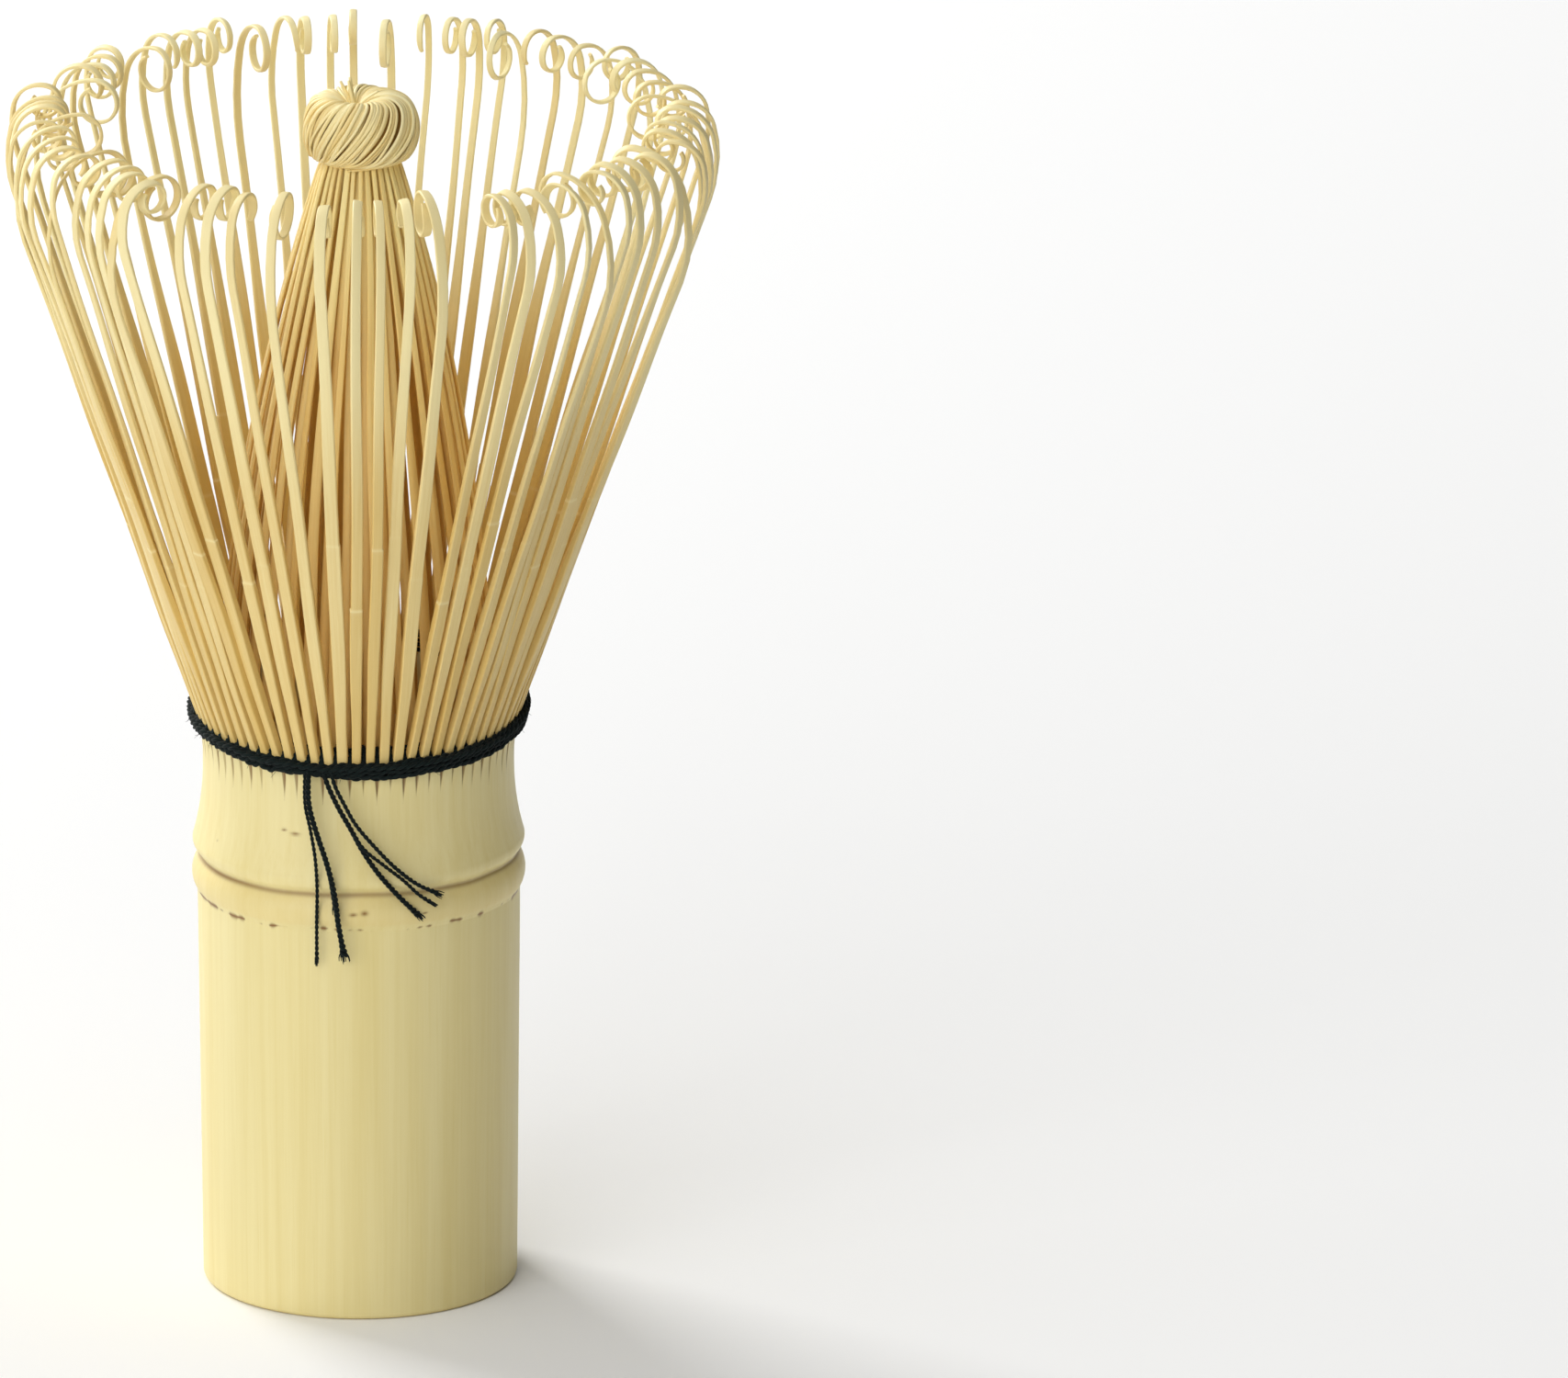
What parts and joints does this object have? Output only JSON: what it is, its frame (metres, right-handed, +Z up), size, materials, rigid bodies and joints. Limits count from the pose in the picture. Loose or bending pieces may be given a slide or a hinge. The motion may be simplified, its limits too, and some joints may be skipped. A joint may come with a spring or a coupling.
{
  "type": "bamboo tea whisk",
  "caption": "Hand whisk cut from one bamboo culm: round handle with a node ring, flared outer tines with curled ends, inner tines gathered in a twisted knot, dark thread binding.",
  "frame": {"origin": "centre of the handle's open bottom rim, on the surface it stands on", "axes": "+Z up along the handle, -Y the front, where the thread is tied off, +X to the right seen from the front"},
  "size_m": [0.062, 0.0613, 0.1076],
  "materials": {
    "culm": "smooth pale bamboo",
    "outer_tine": "split and shaved bamboo",
    "inner_tine": "split and shaved bamboo",
    "knot": "thin shaved bamboo, twisted",
    "thread": "dark twisted thread"
  },
  "bodies": {
    "root": {"handle_culm": "culm", "inner_tines": "inner_tine", "tip_knot": "knot", "binding_thread": "thread", "weave_thread": "thread", "thread_tails": "thread"},
    "outer_tine_01": {"outer_tine_01": "outer_tine"},
    "outer_tine_02": {"outer_tine_02": "outer_tine"},
    "outer_tines_03_04": {"outer_tines_03_04": "outer_tine"},
    "outer_tine_05": {"outer_tine_05": "outer_tine"},
    "outer_tine_06": {"outer_tine_06": "outer_tine"},
    "outer_tines_07_08": {"outer_tines_07_08": "outer_tine"},
    "outer_tine_09": {"outer_tine_09": "outer_tine"},
    "outer_tine_10": {"outer_tine_10": "outer_tine"},
    "outer_tines_11_12": {"outer_tines_11_12": "outer_tine"},
    "outer_tine_13": {"outer_tine_13": "outer_tine"},
    "outer_tine_14": {"outer_tine_14": "outer_tine"},
    "outer_tines_15_16": {"outer_tines_15_16": "outer_tine"},
    "outer_tine_17": {"outer_tine_17": "outer_tine"},
    "outer_tine_18": {"outer_tine_18": "outer_tine"},
    "outer_tines_19_20": {"outer_tines_19_20": "outer_tine"},
    "outer_tine_21": {"outer_tine_21": "outer_tine"},
    "outer_tine_22": {"outer_tine_22": "outer_tine"},
    "outer_tines_23_24": {"outer_tines_23_24": "outer_tine"},
    "outer_tine_25": {"outer_tine_25": "outer_tine"},
    "outer_tine_26": {"outer_tine_26": "outer_tine"},
    "outer_tines_27_28": {"outer_tines_27_28": "outer_tine"},
    "outer_tine_29": {"outer_tine_29": "outer_tine"},
    "outer_tine_30": {"outer_tine_30": "outer_tine"},
    "outer_tines_31_32": {"outer_tines_31_32": "outer_tine"},
    "outer_tine_33": {"outer_tine_33": "outer_tine"},
    "outer_tine_34": {"outer_tine_34": "outer_tine"},
    "outer_tines_35_36": {"outer_tines_35_36": "outer_tine"},
    "outer_tine_37": {"outer_tine_37": "outer_tine"},
    "outer_tine_38": {"outer_tine_38": "outer_tine"},
    "outer_tines_39_40": {"outer_tines_39_40": "outer_tine"},
    "outer_tine_41": {"outer_tine_41": "outer_tine"},
    "outer_tine_42": {"outer_tine_42": "outer_tine"},
    "outer_tines_43_44": {"outer_tines_43_44": "outer_tine"},
    "outer_tine_45": {"outer_tine_45": "outer_tine"},
    "outer_tine_46": {"outer_tine_46": "outer_tine"},
    "outer_tines_47_48": {"outer_tines_47_48": "outer_tine"},
    "outer_tine_49": {"outer_tine_49": "outer_tine"},
    "outer_tine_50": {"outer_tine_50": "outer_tine"},
    "outer_tines_51_52": {"outer_tines_51_52": "outer_tine"},
    "outer_tine_53": {"outer_tine_53": "outer_tine"},
    "outer_tine_54": {"outer_tine_54": "outer_tine"},
    "outer_tines_55_56": {"outer_tines_55_56": "outer_tine"},
    "outer_tine_57": {"outer_tine_57": "outer_tine"},
    "outer_tine_58": {"outer_tine_58": "outer_tine"},
    "outer_tines_59_60": {"outer_tines_59_60": "outer_tine"},
    "outer_tine_61": {"outer_tine_61": "outer_tine"},
    "outer_tine_62": {"outer_tine_62": "outer_tine"},
    "outer_tines_63_64": {"outer_tines_63_64": "outer_tine"},
    "outer_tine_65": {"outer_tine_65": "outer_tine"},
    "outer_tine_66": {"outer_tine_66": "outer_tine"},
    "outer_tines_67_68": {"outer_tines_67_68": "outer_tine"},
    "outer_tine_69": {"outer_tine_69": "outer_tine"},
    "outer_tine_70": {"outer_tine_70": "outer_tine"},
    "outer_tines_71_72": {"outer_tines_71_72": "outer_tine"}
  },
  "joints": [
    {"name": "outer_tine_01_flex", "type": "hinge", "parent": "root", "child": "outer_tine_01", "pos_m": [0.01417, 0, 0.05275], "axis": [-0.0708, 0.9975, 0], "range_deg": [-8, 8], "stiffness_Nm_per_rad": 0.002},
    {"name": "outer_tine_02_flex", "type": "hinge", "parent": "root", "child": "outer_tine_02", "pos_m": [0.01415, 0.00124, 0.05286], "axis": [-0.1758, 0.9844, 0], "range_deg": [-8, 8], "stiffness_Nm_per_rad": 0.002},
    {"name": "outer_tines_03_04_flex", "type": "hinge", "parent": "root", "child": "outer_tines_03_04", "pos_m": [0.01391, 0.00308, 0.05303], "axis": [-0.2524, 0.9676, 0], "range_deg": [-8, 8], "stiffness_Nm_per_rad": 0.002},
    {"name": "outer_tine_05_flex", "type": "hinge", "parent": "root", "child": "outer_tine_05", "pos_m": [0.01345, 0.0049, 0.05319], "axis": [-0.3055, 0.9522, 0], "range_deg": [-8, 8], "stiffness_Nm_per_rad": 0.002},
    {"name": "outer_tine_06_flex", "type": "hinge", "parent": "root", "child": "outer_tine_06", "pos_m": [0.01301, 0.00607, 0.0533], "axis": [-0.3879, 0.9217, 0], "range_deg": [-8, 8], "stiffness_Nm_per_rad": 0.002},
    {"name": "outer_tines_07_08_flex", "type": "hinge", "parent": "root", "child": "outer_tines_07_08", "pos_m": [0.01213, 0.00773, 0.05345], "axis": [-0.5378, 0.8431, 0], "range_deg": [-8, 8], "stiffness_Nm_per_rad": 0.002},
    {"name": "outer_tine_09_flex", "type": "hinge", "parent": "root", "child": "outer_tine_09", "pos_m": [0.01107, 0.00929, 0.05359], "axis": [-0.6437, 0.7653, 0], "range_deg": [-8, 8], "stiffness_Nm_per_rad": 0.002},
    {"name": "outer_tine_10_flex", "type": "hinge", "parent": "root", "child": "outer_tine_10", "pos_m": [0.01024, 0.01024, 0.05367], "axis": [-0.6948, 0.7192, 0], "range_deg": [-8, 8], "stiffness_Nm_per_rad": 0.002},
    {"name": "outer_tines_11_12_flex", "type": "hinge", "parent": "root", "child": "outer_tines_11_12", "pos_m": [0.00883, 0.0115, 0.05378], "axis": [-0.7966, 0.6045, 0], "range_deg": [-8, 8], "stiffness_Nm_per_rad": 0.002},
    {"name": "outer_tine_13_flex", "type": "hinge", "parent": "root", "child": "outer_tine_13", "pos_m": [0.00727, 0.0126, 0.05388], "axis": [-0.8901, 0.4558, 0], "range_deg": [-8, 8], "stiffness_Nm_per_rad": 0.002},
    {"name": "outer_tine_14_flex", "type": "hinge", "parent": "root", "child": "outer_tine_14", "pos_m": [0.00615, 0.0132, 0.05393], "axis": [-0.9218, 0.3877, 0], "range_deg": [-8, 8], "stiffness_Nm_per_rad": 0.002},
    {"name": "outer_tines_15_16_flex", "type": "hinge", "parent": "root", "child": "outer_tines_15_16", "pos_m": [0.00438, 0.0139, 0.05399], "axis": [-0.9448, 0.3278, 0], "range_deg": [-8, 8], "stiffness_Nm_per_rad": 0.002},
    {"name": "outer_tine_17_flex", "type": "hinge", "parent": "root", "child": "outer_tine_17", "pos_m": [0.00253, 0.01438, 0.05403], "axis": [-0.9759, 0.2183, 0], "range_deg": [-8, 8], "stiffness_Nm_per_rad": 0.002},
    {"name": "outer_tine_18_flex", "type": "hinge", "parent": "root", "child": "outer_tine_18", "pos_m": [0.00127, 0.01455, 0.05405], "axis": [-0.9953, 0.097, 0], "range_deg": [-8, 8], "stiffness_Nm_per_rad": 0.002},
    {"name": "outer_tines_19_20_flex", "type": "hinge", "parent": "root", "child": "outer_tines_19_20", "pos_m": [-0.00064, 0.01458, 0.05405], "axis": [-0.9982, -0.0602, 0], "range_deg": [-8, 8], "stiffness_Nm_per_rad": 0.002},
    {"name": "outer_tine_21_flex", "type": "hinge", "parent": "root", "child": "outer_tine_21", "pos_m": [-0.00253, 0.01438, 0.05403], "axis": [-0.9857, -0.1684, 0], "range_deg": [-8, 8], "stiffness_Nm_per_rad": 0.002},
    {"name": "outer_tine_22_flex", "type": "hinge", "parent": "root", "child": "outer_tine_22", "pos_m": [-0.00378, 0.01409, 0.05401], "axis": [-0.9677, -0.2522, 0], "range_deg": [-8, 8], "stiffness_Nm_per_rad": 0.002},
    {"name": "outer_tines_23_24_flex", "type": "hinge", "parent": "root", "child": "outer_tines_23_24", "pos_m": [-0.00557, 0.01345, 0.05395], "axis": [-0.9119, -0.4105, 0], "range_deg": [-8, 8], "stiffness_Nm_per_rad": 0.002},
    {"name": "outer_tine_25_flex", "type": "hinge", "parent": "root", "child": "outer_tine_25", "pos_m": [-0.00727, 0.0126, 0.05388], "axis": [-0.8512, -0.5249, 0], "range_deg": [-8, 8], "stiffness_Nm_per_rad": 0.002},
    {"name": "outer_tine_26_flex", "type": "hinge", "parent": "root", "child": "outer_tine_26", "pos_m": [-0.00833, 0.0119, 0.05382], "axis": [-0.8284, -0.5601, 0], "range_deg": [-8, 8], "stiffness_Nm_per_rad": 0.002},
    {"name": "outer_tines_27_28_flex", "type": "hinge", "parent": "root", "child": "outer_tines_27_28", "pos_m": [-0.00978, 0.01067, 0.05371], "axis": [-0.7703, -0.6376, 0], "range_deg": [-8, 8], "stiffness_Nm_per_rad": 0.002},
    {"name": "outer_tine_29_flex", "type": "hinge", "parent": "root", "child": "outer_tine_29", "pos_m": [-0.01107, 0.00929, 0.05359], "axis": [-0.6475, -0.7621, 0], "range_deg": [-8, 8], "stiffness_Nm_per_rad": 0.002},
    {"name": "outer_tine_30_flex", "type": "hinge", "parent": "root", "child": "outer_tine_30", "pos_m": [-0.01181, 0.00827, 0.0535], "axis": [-0.5501, -0.8351, 0], "range_deg": [-8, 8], "stiffness_Nm_per_rad": 0.002},
    {"name": "outer_tines_31_32_flex", "type": "hinge", "parent": "root", "child": "outer_tines_31_32", "pos_m": [-0.01273, 0.00663, 0.05335], "axis": [-0.4478, -0.8942, 0], "range_deg": [-8, 8], "stiffness_Nm_per_rad": 0.002},
    {"name": "outer_tine_33_flex", "type": "hinge", "parent": "root", "child": "outer_tine_33", "pos_m": [-0.01345, 0.0049, 0.05319], "axis": [-0.348, -0.9375, 0], "range_deg": [-8, 8], "stiffness_Nm_per_rad": 0.002},
    {"name": "outer_tine_34_flex", "type": "hinge", "parent": "root", "child": "outer_tine_34", "pos_m": [-0.01379, 0.0037, 0.05309], "axis": [-0.2489, -0.9685, 0], "range_deg": [-8, 8], "stiffness_Nm_per_rad": 0.002},
    {"name": "outer_tines_35_36_flex", "type": "hinge", "parent": "root", "child": "outer_tines_35_36", "pos_m": [-0.01409, 0.00186, 0.05292], "axis": [-0.1105, -0.9939, 0], "range_deg": [-8, 8], "stiffness_Nm_per_rad": 0.002},
    {"name": "outer_tine_37_flex", "type": "hinge", "parent": "root", "child": "outer_tine_37", "pos_m": [-0.01417, 0, 0.05275], "axis": [-0.0431, -0.9991, 0], "range_deg": [-8, 8], "stiffness_Nm_per_rad": 0.002},
    {"name": "outer_tine_38_flex", "type": "hinge", "parent": "root", "child": "outer_tine_38", "pos_m": [-0.01407, -0.00123, 0.05264], "axis": [-0.0018, -1, 0], "range_deg": [-8, 8], "stiffness_Nm_per_rad": 0.002},
    {"name": "outer_tines_39_40_flex", "type": "hinge", "parent": "root", "child": "outer_tines_39_40", "pos_m": [-0.01372, -0.00304, 0.05247], "axis": [0.1395, -0.9902, 0], "range_deg": [-8, 8], "stiffness_Nm_per_rad": 0.002},
    {"name": "outer_tine_41_flex", "type": "hinge", "parent": "root", "child": "outer_tine_41", "pos_m": [-0.01317, -0.00479, 0.0523], "axis": [0.3048, -0.9524, 0], "range_deg": [-8, 8], "stiffness_Nm_per_rad": 0.002},
    {"name": "outer_tine_42_flex", "type": "hinge", "parent": "root", "child": "outer_tine_42", "pos_m": [-0.01267, -0.00591, 0.0522], "axis": [0.3734, -0.9277, 0], "range_deg": [-8, 8], "stiffness_Nm_per_rad": 0.002},
    {"name": "outer_tines_43_44_flex", "type": "hinge", "parent": "root", "child": "outer_tines_43_44", "pos_m": [-0.01174, -0.00748, 0.05205], "axis": [0.4253, -0.9051, 0], "range_deg": [-8, 8], "stiffness_Nm_per_rad": 0.002},
    {"name": "outer_tine_45_flex", "type": "hinge", "parent": "root", "child": "outer_tine_45", "pos_m": [-0.01064, -0.00893, 0.05191], "axis": [0.4943, -0.8693, 0], "range_deg": [-8, 8], "stiffness_Nm_per_rad": 0.002},
    {"name": "outer_tine_46_flex", "type": "hinge", "parent": "root", "child": "outer_tine_46", "pos_m": [-0.0098, -0.0098, 0.05183], "axis": [0.5531, -0.8331, 0], "range_deg": [-8, 8], "stiffness_Nm_per_rad": 0.002},
    {"name": "outer_tines_47_48_flex", "type": "hinge", "parent": "root", "child": "outer_tines_47_48", "pos_m": [-0.00841, -0.01096, 0.05172], "axis": [0.6054, -0.7959, 0], "range_deg": [-8, 8], "stiffness_Nm_per_rad": 0.002},
    {"name": "outer_tine_49_flex", "type": "hinge", "parent": "root", "child": "outer_tine_49", "pos_m": [-0.0069, -0.01195, 0.05162], "axis": [0.6353, -0.7723, 0], "range_deg": [-8, 8], "stiffness_Nm_per_rad": 0.002},
    {"name": "outer_tine_50_flex", "type": "hinge", "parent": "root", "child": "outer_tine_50", "pos_m": [-0.00582, -0.01249, 0.05157], "axis": [0.8178, -0.5755, 0], "range_deg": [-8, 8], "stiffness_Nm_per_rad": 0.002},
    {"name": "outer_tines_51_52_flex", "type": "hinge", "parent": "root", "child": "outer_tines_51_52", "pos_m": [-0.00413, -0.01311, 0.05151], "axis": [0.879, -0.4769, 0], "range_deg": [-8, 8], "stiffness_Nm_per_rad": 0.002},
    {"name": "outer_tine_53_flex", "type": "hinge", "parent": "root", "child": "outer_tine_53", "pos_m": [-0.00239, -0.01354, 0.05147], "axis": [0.9583, -0.2859, 0], "range_deg": [-8, 8], "stiffness_Nm_per_rad": 0.002},
    {"name": "outer_tine_54_flex", "type": "hinge", "parent": "root", "child": "outer_tine_54", "pos_m": [-0.0012, -0.0137, 0.05146], "axis": [0.9957, -0.0925, 0], "range_deg": [-8, 8], "stiffness_Nm_per_rad": 0.002},
    {"name": "outer_tines_55_56_flex", "type": "hinge", "parent": "root", "child": "outer_tines_55_56", "pos_m": [0.0006, -0.01372, 0.05145], "axis": [0.9989, 0.0472, 0], "range_deg": [-8, 8], "stiffness_Nm_per_rad": 0.002},
    {"name": "outer_tine_57_flex", "type": "hinge", "parent": "root", "child": "outer_tine_57", "pos_m": [0.00239, -0.01354, 0.05147], "axis": [0.9867, 0.1627, 0], "range_deg": [-8, 8], "stiffness_Nm_per_rad": 0.002},
    {"name": "outer_tine_58_flex", "type": "hinge", "parent": "root", "child": "outer_tine_58", "pos_m": [0.00356, -0.01329, 0.05149], "axis": [0.962, 0.2732, 0], "range_deg": [-8, 8], "stiffness_Nm_per_rad": 0.002},
    {"name": "outer_tines_59_60_flex", "type": "hinge", "parent": "root", "child": "outer_tines_59_60", "pos_m": [0.00527, -0.01272, 0.05155], "axis": [0.8275, 0.5615, 0], "range_deg": [-8, 8], "stiffness_Nm_per_rad": 0.002},
    {"name": "outer_tine_61_flex", "type": "hinge", "parent": "root", "child": "outer_tine_61", "pos_m": [0.0069, -0.01195, 0.05162], "axis": [0.7595, 0.6505, 0], "range_deg": [-8, 8], "stiffness_Nm_per_rad": 0.002},
    {"name": "outer_tine_62_flex", "type": "hinge", "parent": "root", "child": "outer_tine_62", "pos_m": [0.00792, -0.01132, 0.05169], "axis": [0.6784, 0.7346, 0], "range_deg": [-8, 8], "stiffness_Nm_per_rad": 0.002},
    {"name": "outer_tines_63_64_flex", "type": "hinge", "parent": "root", "child": "outer_tines_63_64", "pos_m": [0.00935, -0.0102, 0.05179], "axis": [0.5666, 0.824, 0], "range_deg": [-8, 8], "stiffness_Nm_per_rad": 0.002},
    {"name": "outer_tine_65_flex", "type": "hinge", "parent": "root", "child": "outer_tine_65", "pos_m": [0.01064, -0.00893, 0.05191], "axis": [0.5085, 0.861, 0], "range_deg": [-8, 8], "stiffness_Nm_per_rad": 0.002},
    {"name": "outer_tine_66_flex", "type": "hinge", "parent": "root", "child": "outer_tine_66", "pos_m": [0.0114, -0.00798, 0.052], "axis": [0.4733, 0.8809, 0], "range_deg": [-8, 8], "stiffness_Nm_per_rad": 0.002},
    {"name": "outer_tines_67_68_flex", "type": "hinge", "parent": "root", "child": "outer_tines_67_68", "pos_m": [0.01237, -0.00644, 0.05215], "axis": [0.3618, 0.9323, 0], "range_deg": [-8, 8], "stiffness_Nm_per_rad": 0.002},
    {"name": "outer_tine_69_flex", "type": "hinge", "parent": "root", "child": "outer_tine_69", "pos_m": [0.01317, -0.00479, 0.0523], "axis": [0.2358, 0.9718, 0], "range_deg": [-8, 8], "stiffness_Nm_per_rad": 0.002},
    {"name": "outer_tine_70_flex", "type": "hinge", "parent": "root", "child": "outer_tine_70", "pos_m": [0.01357, -0.00364, 0.05241], "axis": [0.1798, 0.9837, 0], "range_deg": [-8, 8], "stiffness_Nm_per_rad": 0.002},
    {"name": "outer_tines_71_72_flex", "type": "hinge", "parent": "root", "child": "outer_tines_71_72", "pos_m": [0.01397, -0.00184, 0.05258], "axis": [0.0843, 0.9964, 0], "range_deg": [-8, 8], "stiffness_Nm_per_rad": 0.002}
  ]
}
